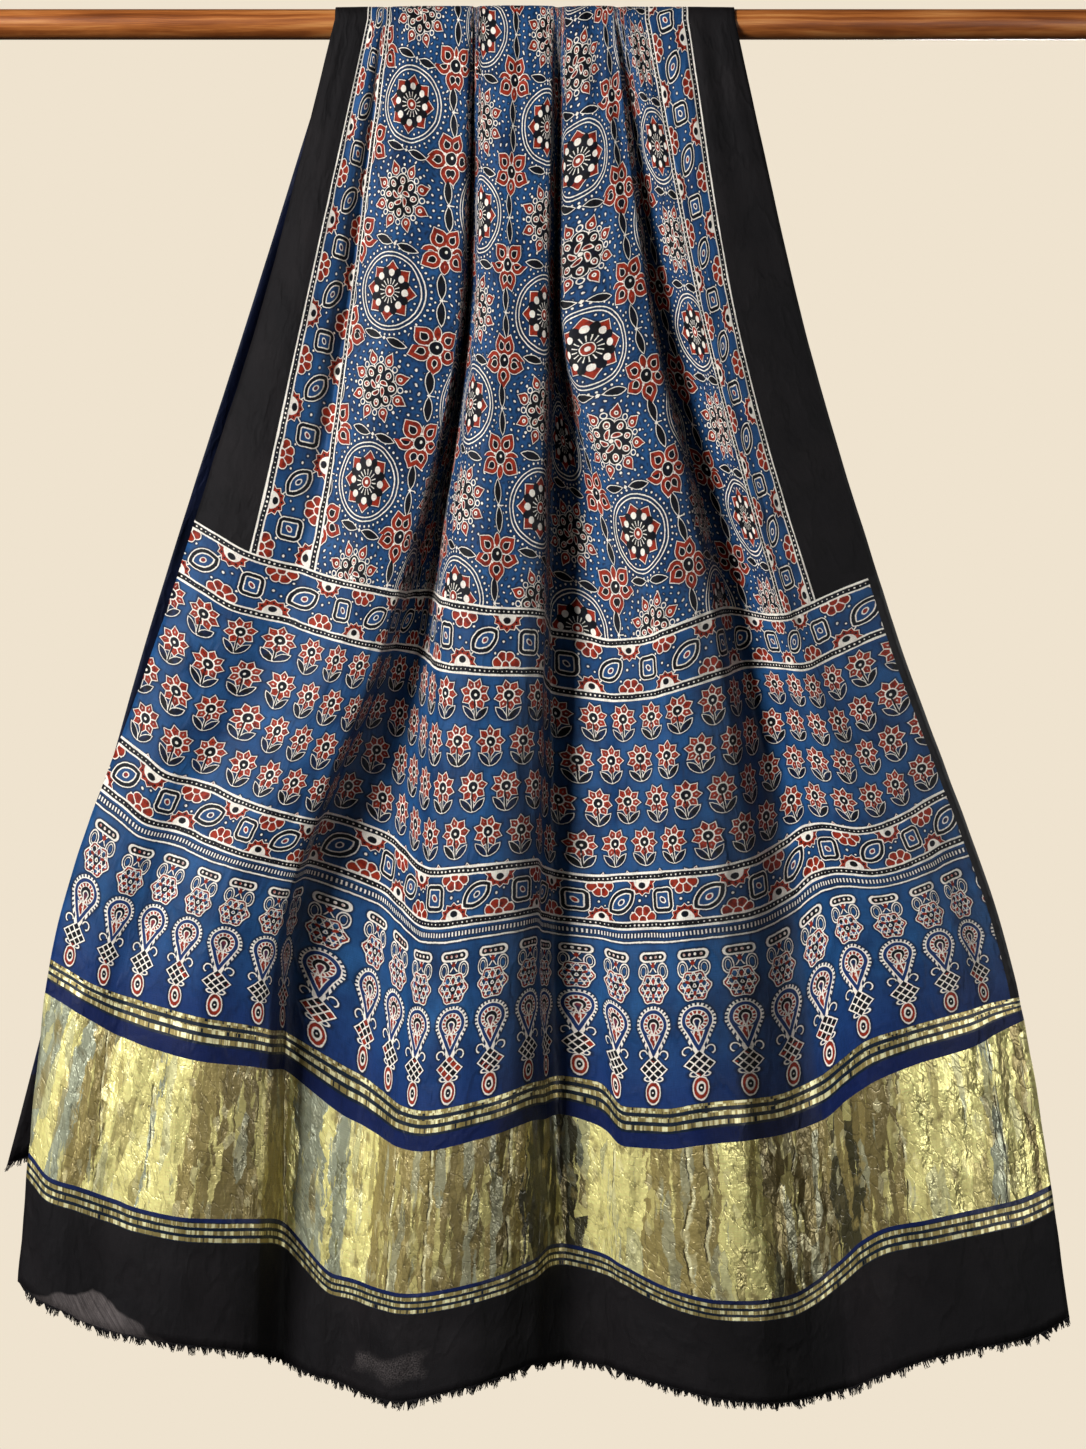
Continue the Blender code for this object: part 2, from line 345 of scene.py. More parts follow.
def read_table(table, across, column):
    """Read one column of a table at a place across: one number, or one for each level."""
    spots = [row[0] for row in table]
    values = [row[column] for row in table]
    if isinstance(values[0], tuple):
        return [smooth_through(spots, level, across) for level in zip(*values)]
    return smooth_through(spots, values, across)


def running_lengths(side, drop):
    """Return the running length of a side's line from the rod's axis down to a drop."""
    points = [side(drop * i / ARC_SAMPLES) for i in range(ARC_SAMPLES + 1)]
    total = 0.0
    running = [total]
    for a, b in zip(points, points[1:]):
        total += math.dist(a, b)
        running.append(total)
    return running


class Column:
    """One line of the cloth from its front end over the rod to its back end."""

    def __init__(self, across):
        self.radius = WRAP_RADIUS + LIFT_KEPT * read_table(FRONT_FOLDS, across, 1)
        self.places = read_table(FRONT_FOLDS, across, 2)
        self.depths = [self.radius] + read_table(FRONT_FOLDS, across, 3)
        self.hem = read_table(FRONT_FOLDS, across, 4) - HEM_RISE
        self.back_places = self.places[:1] + read_table(BACK_FOLDS, across, 1)
        self.back_depths = [self.radius] + read_table(BACK_FOLDS, across, 2)
        lines = [read_table(PRINT_LINES, across, column) for column in (5, 4, 3, 2, 1)]
        self.print_drops = [self.hem] + lines

    def front(self, drop):
        """Return the point of the front at a drop."""
        place = smooth_through(FRONT_LEVELS, self.places, drop)
        return (place, -smooth_through(FRONT_LEVELS, self.depths, drop), -drop)

    def back(self, drop):
        """Return the point of the back at a drop."""
        place = smooth_through(BACK_LEVELS, self.back_places, drop)
        return (place, smooth_through(BACK_LEVELS, self.back_depths, drop), -drop)

    def points(self, front_rows, back_rows):
        """Return the column's points, and how far along the cloth each one is."""
        drops = [smooth_through(PRINT_ALONG, self.print_drops, along) for along in front_rows]
        points = [self.front(drop) for drop in drops]
        alongs = list(front_rows)
        band_drop = self.print_drops[-1]
        running = running_lengths(self.front, band_drop)
        rod_front = UPPER_BAND_TOP + running[-1]
        samples = [band_drop * i / ARC_SAMPLES for i in range(ARC_SAMPLES + 1)]
        for i in range(1, FIELD_ROWS):
            drop = band_drop * (1 - i / FIELD_ROWS)
            points.append(self.front(drop))
            alongs.append(rod_front - smooth_through(samples, running, drop))
        for i in range(WRAP_ROWS + 1):
            angle = math.pi * i / WRAP_ROWS
            spot = (self.places[0], -self.radius * math.cos(angle), self.radius * math.sin(angle))
            points.append(spot)
            alongs.append(rod_front + self.radius * angle)
        rod_back = alongs[-1]
        front_length = running_lengths(self.front, self.hem)[-1]
        left = CLOTH_LENGTH - front_length - math.pi * self.radius
        back_hem = left * left / running_lengths(self.back, left)[-1]
        share = back_hem / (CLOTH_LENGTH - rod_back)
        field = BACK_BAND_ALONG - rod_back
        field_rows = [rod_back + field * i / BACK_FIELD_ROWS for i in range(1, BACK_FIELD_ROWS)]
        for along in field_rows + back_rows:
            points.append(self.back((along - rod_back) * share))
            alongs.append(along)
        return points, alongs


def add_object(name, data):
    """Add an object to the scene and return it."""
    item = bpy.data.objects.new(name, data)
    bpy.context.scene.collection.objects.link(item)
    return item


def smooth_mesh(name, verts, faces, materials):
    """Return a smooth-shaded mesh with its materials."""
    mesh = bpy.data.meshes.new(name)
    mesh.from_pydata(verts, [], faces)
    mesh.shade_smooth()
    for material in materials:
        mesh.materials.append(material)
    return mesh


def ring_faces(first, sides, steps):
    """Return the faces between rings of corners, numbered on from the first corner."""
    faces = []
    for ring in range(first, first + sides * steps, sides):
        for side in range(sides):
            a = ring + side
            b = ring + (side + 1) % sides
            faces.append((a, b, b + sides, a + sides))
    return faces


def even_steps(edges, step):
    """Divide every stretch between edges evenly into steps no longer than step."""
    places = []
    for start, end in zip(edges, edges[1:]):
        count = max(1, math.ceil((end - start) / step))
        places += [start + (end - start) * i / count for i in range(count)]
    return places + [edges[-1]]


def column_places():
    """Return the places across the flat cloth at which it has a line of points."""
    edges = sorted({row[0] for row in FRONT_FOLDS} | set(FIELD_EDGES))
    return even_steps(edges, COLUMN_STEP)


def grid_normals(grid):
    """Return the outward direction of a grid of points, at each point."""
    last_column = len(grid) - 1
    last_row = len(grid[0]) - 1
    normals = []
    for i, column in enumerate(grid):
        left = grid[max(i - 1, 0)]
        right = grid[min(i + 1, last_column)]
        normals.append([])
        for j in range(last_row + 1):
            over = right[j] - left[j]
            up = column[min(j + 1, last_row)] - column[max(j - 1, 0)]
            normals[-1].append(over.cross(up).normalized())
    return normals


def zone_of(across, along):
    """Return the name of the printed zone at a place on the flat cloth."""
    end_along = min(along, CLOTH_LENGTH - along)
    if end_along < UPPER_BAND_TOP:
        return next(name for name, edge in END_ZONES if end_along < edge)
    return next(name for name, edge in FIELD_ZONES if across < edge)


def panel_bulge(across):
    """Return how far the gold tissue's creased panels stand out at a place across, in mm."""
    ends = [row[0] for row in GOLD_PANELS[1:]] + [CLOTH_WIDTH]
    for (start, _, bulge), end in zip(GOLD_PANELS, ends):
        if start <= across < end:
            return bulge * (math.sin(math.pi * (across - start) / (end - start)) ** 0.6 * 1.8 - 1)
    return 0.0


def ripple(across, along, height, wide, tall, seed):
    """Return a layer of soft creases, wide across the cloth and tall along it, in mm."""
    return height * noise.noise(Vector((across / wide, along / tall, seed)))


def crumple(across, along):
    """Return how far small creases move the cloth out, in mm."""
    end_along = min(along, CLOTH_LENGTH - along)
    gathered = max(0.0, 1 - abs(along - ROD_ALONG) / GATHER_REACH)
    rise = ripple(across, along, 2.4, 40, 210, 1.7)
    rise += ripple(across, along, 1.0, 17, 110, 5.1)
    rise += ripple(across, along, 0.8, 90, 30, 9.4)
    rise += ripple(across, along, 4.0 * gathered, 15, 420, 6.6)
    if GOLD_BOTTOM < end_along < GOLD_TOP:
        share = (end_along - GOLD_BOTTOM) / (GOLD_TOP - GOLD_BOTTOM)
        lean = ripple(across, along, 5.0, 60, 70, 3.3)
        rise += panel_bulge(across + lean) * math.sin(math.pi * share ** 1.4) ** 0.6
        rise += ripple(across, along, 1.0, 12, 34, 8.3)
    elif end_along < GOLD_BOTTOM:
        rise += 1.6 * noise.noise(Vector((across / 34 + along / 40, along / 46 - across / 90, 2.7)))
    return rise


def drape(places):
    """Return the sheet's grid of points, and how far along the cloth each one is."""
    front_rows = even_steps(END_EDGES, FRONT_ROW_STEP)
    back_edges = sorted(CLOTH_LENGTH - edge for edge in END_EDGES)
    back_rows = even_steps(back_edges, BACK_ROW_STEP)
    grid = []
    alongs = []
    for across in places:
        points, column_alongs = Column(across).points(front_rows, back_rows)
        grid.append([Vector(point) for point in points])
        alongs.append(column_alongs)
    normals = grid_normals(grid)
    for i, across in enumerate(places):
        for j, along in enumerate(alongs[i]):
            off_rod = min(1.0, abs(grid[i][j].z - ROD_RADIUS) / CREASE_FADE)
            grid[i][j] += normals[i][j] * (crumple(across, along) * off_rod)
    return grid, alongs


def sheet_faces(places, alongs):
    """Return the sheet's faces, each corner's place on the flat cloth and side, and the zones."""
    rows = len(alongs[0])
    last = rows - 1
    inner = len(places) * rows
    faces = []
    cuts = []
    zones = []

    def add_face(corners, shift, zone):
        faces.append([i * rows + j + (inner if inside else 0) for i, j, inside in corners])
        cuts.extend((places[i], alongs[i][j], shift) for i, j, _ in corners)
        zones.append(zone)

    for i in range(len(places) - 1):
        across = (places[i] + places[i + 1]) / 2
        for j in range(last):
            along = (alongs[i][j] + alongs[i + 1][j + 1]) / 2
            zone = zone_of(across, along)
            around = [(i, j), (i + 1, j), (i + 1, j + 1), (i, j + 1)]
            add_face([(*spot, False) for spot in around], 0, zone)
            add_face([(*spot, True) for spot in reversed(around)], 1, "reverse " + zone)
        for j in (0, last):
            spots = [(i, j, False), (i, j, True), (i + 1, j, True), (i + 1, j, False)]
            add_face(spots if j == 0 else spots[::-1], 0, "black end")
    for i in (0, len(places) - 1):
        for j in range(last):
            spots = [(i, j, False), (i, j + 1, False), (i, j + 1, True), (i, j, True)]
            add_face(spots if i == 0 else spots[::-1], 0, "black border")
    return faces, cuts, zones


def build_sheet(palette):
    """Make the closed draped sheet, with a zone material on each face."""
    places = column_places()
    grid, alongs = drape(places)
    normals = grid_normals(grid)
    verts = []
    for side in (SHEET_THICKNESS / 2, -SHEET_THICKNESS / 2):
        for column, ways in zip(grid, normals):
            verts += [(point + way * side) / 1000 for point, way in zip(column, ways)]
    faces, cuts, zones = sheet_faces(places, alongs)
    mesh = smooth_mesh("draped_cloth", verts, faces, palette.values())
    slots = {name: slot for slot, name in enumerate(palette)}
    mesh.polygons.foreach_set("material_index", [slots[zone] for zone in zones])
    cut_map = mesh.uv_layers.new(name="cut")
    bake_map = mesh.uv_layers.new(name="OFBake")
    cut_values = []
    bake_values = []
    for across, along, shift in cuts:
        cut_values += [across / 1000, along / 1000]
        bake_across = BAKE_MARGIN + (0.5 - 2 * BAKE_MARGIN) * across / CLOTH_WIDTH + 0.5 * shift
        bake_values += [bake_across, along / CLOTH_LENGTH]
    cut_map.data.foreach_set("uv", cut_values)
    bake_map.data.foreach_set("uv", bake_values)
    mesh.update()
    return add_object("draped_cloth", mesh), grid


def linear(level):
    """Turn one 0 to 255 screen level into a linear share."""
    share = level / 255
    return share / 12.92 if share <= 0.04045 else ((share + 0.055) / 1.055) ** 2.4


def dye(red, green, blue):
    """Return a linear colour from its 0 to 255 screen levels."""
    return (linear(red), linear(green), linear(blue), 1.0)


BLUE = dye(31, 73, 122)
DEEP_BLUE = dye(17, 39, 76)
LIGHT_BLUE = dye(44, 100, 156)
ROYAL_BLUE = dye(26, 54, 108)
SHADOW_BLUE = dye(9, 16, 34)
NAVY = dye(18, 33, 80)
REVERSE_NAVY = dye(20, 27, 54)
TEAL = dye(10, 28, 46)
RED = dye(166, 48, 24)
DEEP_RED = dye(106, 27, 18)
CREAM = dye(255, 247, 234)
PRINT_BLACK = dye(10, 10, 14)
BLACK = dye(21, 19, 21)
SOFT_BLACK = dye(34, 30, 31)
SHEER_GREY = dye(124, 115, 113)
GOLD = dye(255, 243, 158)
DULL_GOLD = dye(166, 149, 92)
OLD_GOLD = dye(128, 114, 70)
# Painted shade of the gold tissue's valley panels
VALLEY_SHADE_GOLD = dye(68, 64, 42)
PALE_GOLD = dye(255, 248, 196)
GREY_GOLD = dye(176, 180, 152)
STUDIO_CREAM = dye(239, 227, 207)
THREAD_TONES = ((0.45, dye(20, 19, 21)), (0.75, dye(40, 36, 37)))
WOOD_TONES = (
    # place on the ramp, colour
    (0.30, dye(98, 46, 14)),
    (0.45, dye(152, 82, 32)),
    (0.55, dye(190, 112, 52)),
    (0.70, dye(228, 156, 88)),
)


class Term:
    """A number that a material's nodes work out, so that a formula reads as plain arithmetic."""

    def __init__(self, tree, socket):
        self.tree = tree
        self.socket = socket

    def __add__(self, other):
        return work("ADD", self, other)

    def __radd__(self, other):
        return work("ADD", self, other)

    def __sub__(self, other):
        return work("SUBTRACT", self, other)

    def __rsub__(self, other):
        return work("SUBTRACT", other, self)

    def __mul__(self, other):
        return work("MULTIPLY", self, other)

    def __rmul__(self, other):
        return work("MULTIPLY", self, other)

    def __truediv__(self, other):
        return work("DIVIDE", self, other)

    def __mod__(self, other):
        return work("FLOORED_MODULO", self, other)

    def __abs__(self):
        return work("ABSOLUTE", self)


def work(operation, *values, clamp=False):
    """Add one arithmetic node and return its result."""
    tree = next(value.tree for value in values if isinstance(value, Term))
    node = tree.nodes.new("ShaderNodeMath")
    node.operation = operation
    node.use_clamp = clamp
    for socket, value in zip(node.inputs, values):
        if isinstance(value, Term):
            tree.links.new(value.socket, socket)
        else:
            socket.default_value = value
    return Term(tree, node.outputs[0])


def clamped(value, slope, start):
    """Return a value times a slope plus a start, kept between 0 and 1."""
    return work("MULTIPLY_ADD", value, slope, start, clamp=True)


def whole(value):
    """Round down to a whole number."""
    return work("FLOOR", value)


def least(first, *others):
    """Return the smallest value: the joining of shapes given by their distances."""
    for other in others:
        first = work("MINIMUM", first, other)
    return first


def most(first, *others):
    """Return the largest value: the overlap of shapes given by their distances."""
    for other in others:
        first = work("MAXIMUM", first, other)
    return first


def length(x, y):
    """Return the distance of a spot from the origin."""
    return work("SQRT", work("MULTIPLY_ADD", y, y, x * x))


def sector(x, y, count, turn=0.0):
    """Fold the plane into one of count equal sectors; return the places along and off its middle."""
    wide = 2 * math.pi / count
    angle = work("ARCTAN2", y, x) + turn
    off = (angle + wide / 2) % wide - wide / 2
    radius = length(x, y)
    return radius * work("COSINE", off), abs(radius * work("SINE", off))


def between(x, y, count):
    """Turn a folded sector by half its width, onto the gap beside it."""
    half = math.pi / count
    return x * math.cos(half) + y * math.sin(half), abs(x * math.sin(half) - y * math.cos(half))


def lens(x, y, long, wide):
    """Return the distance from a leaf with two points, long and wide from its middle."""
    radius = (long * long + wide * wide) / (2 * wide)
    return length(x, abs(y) + (radius - wide)) - radius


def oval(x, y, long, wide):
    """Return about the distance from an oval."""
    return (length(x / long, y / wide) - 1) * wide


def petal(x, y, centre, radius, tip):
    """Return the distance from a round petal that runs out to a point."""
    slope = radius / (tip - centre)
    cone = (x - tip) * slope + y * math.sqrt(1 - slope * slope)
    return least(length(x - centre, y) - radius, most(cone, centre + radius * slope - x))


def mapped_noise(across, along, wide, tall, seed, detail=2.0, rough=0.5):
    """Return a node of smooth noise with patches wide across and tall along, in mm."""
    tree = across.tree
    spot = tree.nodes.new("ShaderNodeCombineXYZ")
    tree.links.new((across / wide).socket, spot.inputs[0])
    tree.links.new((along / tall).socket, spot.inputs[1])
    spot.inputs[2].default_value = seed
    node = tree.nodes.new("ShaderNodeTexNoise")
    node.inputs["Scale"].default_value = 1.0
    node.inputs["Detail"].default_value = detail
    node.inputs["Roughness"].default_value = rough
    tree.links.new(spot.outputs[0], node.inputs["Vector"])
    return node


def noise_value(across, along, wide, tall, seed, detail=2.0, rough=0.5):
    """Return noise as one number, mostly from 0.25 to 0.75."""
    node = mapped_noise(across, along, wide, tall, seed, detail, rough)
    return Term(across.tree, node.outputs[0])


def parts_of(tree, socket):
    """Return a vector's three numbers."""
    node = tree.nodes.new("ShaderNodeSeparateXYZ")
    tree.links.new(socket, node.inputs[0])
    return [Term(tree, output) for output in node.outputs]


def ramped(value, stops, interpolation="LINEAR"):
    """Return the colour that a value has on a ramp, given by its places and their colours."""
    ramp = value.tree.nodes.new("ShaderNodeValToRGB")
    ramp.color_ramp.interpolation = interpolation
    elements = ramp.color_ramp.elements
    elements.remove(elements[-1])
    for index, (position, colour) in enumerate(stops):
        stop = elements[0] if index == 0 else elements.new(position)
        stop.position = position
        stop.color = colour
    value.tree.links.new(value.socket, ramp.inputs[0])
    return ramp.outputs[0]


def add_bump(height, distance=0.001, strength=1.0):
    """Give a material relief, where one unit of height is a distance in metres."""
    tree = height.tree
    bump = tree.nodes.new("ShaderNodeBump")
    bump.inputs["Strength"].default_value = strength
    bump.inputs["Distance"].default_value = distance
    tree.links.new(height.socket, bump.inputs["Height"])
    tree.links.new(bump.outputs[0], tree.nodes["Principled BSDF"].inputs["Normal"])


def new_material(name):
    """Return a new material with its node tree and shader."""
    material = bpy.data.materials.new(name)
    material.use_nodes = True
    return material, material.node_tree, material.node_tree.nodes["Principled BSDF"]


class Facets:
    """Flat facets of crushed foil: two random numbers for each one, and a slope all its own."""

    def __init__(self, across, along, wide, tall):
        tree = across.tree
        x = across / wide
        y = along / tall
        spot = tree.nodes.new("ShaderNodeCombineXYZ")
        tree.links.new(x.socket, spot.inputs[0])
        tree.links.new(y.socket, spot.inputs[1])
        cells = tree.nodes.new("ShaderNodeTexVoronoi")
        cells.voronoi_dimensions = "2D"
        cells.inputs["Scale"].default_value = 1.0
        tree.links.new(spot.outputs[0], cells.inputs["Vector"])
        middle_x, middle_y, _ = parts_of(tree, cells.outputs["Position"])
        self.first, self.second, _ = parts_of(tree, cells.outputs["Color"])
        self.slope = (x - middle_x) * (self.first - 0.5) + (y - middle_y) * (self.second - 0.5)


class Print:
    """The colour of one zone, laid shape over shape as a dyer's blocks do, and its finish."""

    def __init__(self, name, ground, wobble=1.5):
        self.material, self.tree, self.shader = new_material(name)
        self.colour = ground
        cut = self.tree.nodes.new("ShaderNodeUVMap")
        cut.uv_map = "cut"
        flat_x, flat_y, _ = parts_of(self.tree, cut.outputs[0])
        self.flat_across = flat_x * 1000
        self.flat_along = flat_y * 1000
        self.end_along = least(self.flat_along, CLOTH_LENGTH - self.flat_along)
        shake = mapped_noise(self.flat_across, self.flat_along, 26, 26, 3.0)
        shake_x, shake_y, self.drift = parts_of(self.tree, shake.outputs["Color"])
        self.across = self.flat_across + (shake_x - 0.5) * (wobble * 2)
        self.along = self.flat_along + (shake_y - 0.5) * (wobble * 2)
        self.grain = self.noise(2.4, 2.4, 7.0, 1.0)
        self.edge = (self.grain - 0.5) * 1.9 + 0.5
        self.red = self.mottled(RED, DEEP_RED, 6, 71.0)
        self.black = self.mottled(PRINT_BLACK, SHADOW_BLUE, 9, 73.0)

    def noise(self, wide, tall, seed, detail=2.0, rough=0.5):
        """Return noise over the flat cloth."""
        return noise_value(self.flat_across, self.flat_along, wide, tall, seed, detail, rough)

    def shaken_end(self):
        """Return how far along a place is from the nearer end, as unsteady as the print's lines."""
        return self.end_along + (self.along - self.flat_along)

    def inside(self, distance):
        """Return 1 inside a shape and 0 outside it, with an edge that bleeds a little."""
        return clamped(distance, -2.4, self.edge)

    def lay(self, colour, distance):
        """Lay a colour inside a shape."""
        self.mix(colour, self.inside(distance))

    def mixed(self, under, over, share):
        """Return one colour with a share of another over it."""
        node = self.tree.nodes.new("ShaderNodeMix")
        node.data_type = "RGBA"
        self.tree.links.new(share.socket, node.inputs["Factor"])
        for socket, value in ((node.inputs[6], under), (node.inputs[7], over)):
            if isinstance(value, tuple):
                socket.default_value = value
            else:
                self.tree.links.new(value, socket)
        return node.outputs[2]

    def mottled(self, first, second, size, seed):
        """Return a colour that wanders between two dyes in patches of a size."""
        return self.mixed(first, second, clamped(self.noise(size, size, seed), 4.0, -1.7))

    def mix(self, colour, share):
        """Mix a share of a colour over what is there."""
        self.colour = self.mixed(self.colour, colour, share)

    def outline(self, distance):
        """Lay undyed cream, with darker ground around it, where dye gathers along the resist."""
        self.mix(SHADOW_BLUE, clamped(distance, -0.5, 1.2) * 0.8)
        self.lay(CREAM, distance)

    def patchy(self, colour, wide, tall, seed, strength=1.0):
        """Mix in a colour where soft noise is high."""
        patches = self.noise(wide, tall, seed, 3.0)
        self.mix(colour, clamped(patches, 3.0 * strength, -1.1 * strength))

    def shade(self, level):
        """Multiply the colour by a level."""
        node = self.tree.nodes.new("ShaderNodeVectorMath")
        node.operation = "SCALE"
        if isinstance(self.colour, tuple):
            node.inputs[0].default_value = self.colour[:3]
        else:
            self.tree.links.new(self.colour, node.inputs[0])
        self.tree.links.new(level.socket, node.inputs["Scale"])
        self.colour = node.outputs[0]

    def finish(self, roughness, gloss=0.12, metal=None, crease=1.0):
        """Join the colour, weave and creases to the shader, with painted shade along the creases, and
        return the material.
        """
        threads = self.noise(0.5, 9, 1.0, 1.0) + self.noise(9, 0.5, 2.0, 1.0)
        folds = self.noise(30, 60, 4.0, 3.0)
        shaded_crease = most(1 - abs(folds - 0.5) * 14, 0.0)
        # The weave's tone, and painted shade along the crease lines
        self.shade((threads - 1) * 0.6 + 1 - shaded_crease * (0.16 * crease))
        self.tree.links.new(self.colour, self.shader.inputs["Base Color"])
        self.shader.inputs["Roughness"].default_value = roughness
        self.shader.inputs["Specular IOR Level"].default_value = gloss
        if metal is not None:
            self.tree.links.new(metal.socket, self.shader.inputs["Metallic"])
        add_bump(shaded_crease * (0.35 * crease) + folds * (2.2 * crease) + threads * 0.14)
        return self.material


def dyed_blue(name):
    """Return a print on the blue ground, patchy as a dye bath leaves it."""
    ink = Print(name, BLUE)
    ink.patchy(DEEP_BLUE, 80, 50, 11.0, 0.8)
    ink.patchy(LIGHT_BLUE, 36, 44, 12.0, 0.6)
    return ink


def lay_field(ink):
    """Lay rows of medallions and rosettes, with star flowers, leaves and dots between them."""
    u = ink.across - FIELD_ORIGIN[0]
    s = ink.along - FIELD_ORIGIN[1]
    half_pitch = FIELD_PITCH / 2
    half_row = FIELD_ROW / 2
    column = whole((u + half_pitch) / FIELD_PITCH)
    row = whole((s + half_row) / FIELD_ROW)
    mx = u - column * FIELD_PITCH
    my = s - row * FIELD_ROW
    odd = (column + row) % 2
    not_medallion = (1 - odd) * FAR
    not_rosette = odd * FAR
    sx = u % FIELD_PITCH - half_pitch
    sy = s % FIELD_ROW - half_row
    radius = length(mx, my)

    # Leaves, and a star flower where they meet
    leaf = least(
        lens(abs(my) - 12.3, sx + my * 0.1, 11.0, 3.7),
        lens(abs(mx) - 14.4, sy + mx * 0.16, 10.8, 3.5),
    )
    turn = work("SINE", column * 3.1 + row * 1.7) * 0.3 + 0.3
    px, py = sector(sx, sy, 5, turn)
    star_petal = petal(px, py, 14.0, 7.9, 25)
    star_radius = length(sx, sy)

    # Uneven rows of dots, clear of the larger shapes
    halo = least(radius - 33 - odd * 11, star_radius - 25, leaf - 2.2)
    dot_s = s + (ink.drift - 0.5) * 14 + work("SINE", u * 0.21) * 1.6
    dot_row = whole(dot_s / DOT_ROW)
    dot_u = u + (dot_row % 2) * (DOT_PITCH / 2)
    dot_u = dot_u + work("SINE", dot_row * 5.3) * 2.5 + work("SINE", s * 0.17) * 2.0
    dot = length(dot_u % DOT_PITCH - DOT_PITCH / 2, dot_s % DOT_ROW - DOT_ROW / 2)
    dot = most(dot - 1.05 - (ink.grain - 0.5) * 0.9, -1 * halo)

    # Medallion: kites inside two rings and a ring of beads
    tip_x, tip_y = sector(mx, my, 8)
    gap_x, gap_y = between(tip_x, tip_y, 8)
    kite = most((tip_x - 28) * 0.707 + tip_y * 0.707, (tip_x - 12) * -0.786 + tip_y * 0.618)
    kite = most(kite, 0.7 - gap_y) + not_medallion
    rings = abs(abs(radius - 34.5) - 1.8) - 0.6
    bead_x, bead_y = sector(mx, my, 44)
    beads = least(length(bead_x - 40.8, bead_y) - 1.05, length(gap_x - 28.6, gap_y - 3.2) - 0.95)
    rings = least(rings, beads) + not_medallion

    # Rosette: drops and curls on stems round a lobed middle
    drop = petal(gap_x, gap_y, 25.6, 4.6, 33.5) + not_rosette
    stem = most(gap_y - 0.45, abs(gap_x - 20) - 2)
    curl = abs(length(tip_x - 24.4, tip_y) - 2.5) - 0.55
    curl = least(stem, curl, length(tip_x - 30, tip_y) - 1.3) + not_rosette
    lobes = least(radius - 14, length(tip_x - 14.6, tip_y) - 6.2) + not_rosette

    # All outlines, then the red and black inside them
    spark = least(abs(sx) + abs(my) - 2.2, most(abs(my) - 0.45, abs(sx - 3) - 3))
    spark = least(spark, abs(mx) + abs(sy) - 2.0)
    outlines = least(leaf - 0.75, star_petal - 0.7, kite - 0.7, drop - 0.7, lobes - 0.8)
    outlines = least(outlines, rings, curl, spark, dot)
    ink.outline(outlines)
    ink.lay(ink.red, least(most(star_petal, 0.5 - between(px, py, 5)[1]), kite, drop))
    oval_shape = oval(gap_x - 17.6, gap_y, 5.6, 4.3) + not_medallion
    inner = petal(px, py, 13.6, 3.2, 18.4)
    disc = least(radius - 14.6 + not_medallion, star_radius - 6.6)
    ink.lay(ink.black, least(leaf, lobes, oval_shape, disc))

    # Rays, buds and curls on the black, and the small hearts of the flowers
    ray_x, ray_y = sector(mx, my, 16)
    rays = most(ray_y - ray_x * 0.045, abs(ray_x - 9.2) - 2.6)
    patches = least(length(tip_x - 17.4, tip_y) - 3.4, rays, radius - 5.6) + not_medallion
    buds = oval(tip_x - 15.2, tip_y, 3.7, 2.9)
    swirl_x, swirl_y = sector(mx, my, 5, radius * 0.09)
    curls = oval(swirl_x - 6.8, swirl_y, 4.2, 2.9)
    rosette_lines = least(buds, curls, length(gap_x - 25.4, gap_y) - 2.0) + not_rosette
    star_gap_x, star_gap_y = between(px, py, 5)
    sparkle = least(length(star_gap_x - 8.6, star_gap_y) - 1.3, abs(star_radius - 6.5) - 0.4)
    ink.lay(CREAM, least(patches, rosette_lines, abs(inner - 0.2) - 0.5, sparkle))
    heart = least(radius - 4.8 + not_medallion, least(buds + 0.9, curls + 0.8) + not_rosette)
    ink.lay(ink.red, heart)
    seeds = least(length(gap_x - 25.4, gap_y) - 0.8, curls + 2.2) + not_rosette
    ink.lay(ink.black, least(inner, seeds))
    middle = least(radius - 2.0, length(tip_x - 14.4, tip_y) - 0.9 + not_rosette)
    ink.lay(CREAM, least(middle, length(sx - 0.8, sy - 1) - 1.4))


def lay_beading(ink, depth, run):
    """Lay a beaded border line, by the depth in from its outer side and the run along it."""
    middle = depth - 4.5
    ink.lay(CREAM, depth - BEADING_DEPTH)
    ink.lay(ink.black, abs(middle) - 2.4)
    ink.lay(CREAM, length(middle, run % BEAD_PITCH - BEAD_PITCH / 2) - 0.65 - (ink.drift - 0.5) * 2.2)


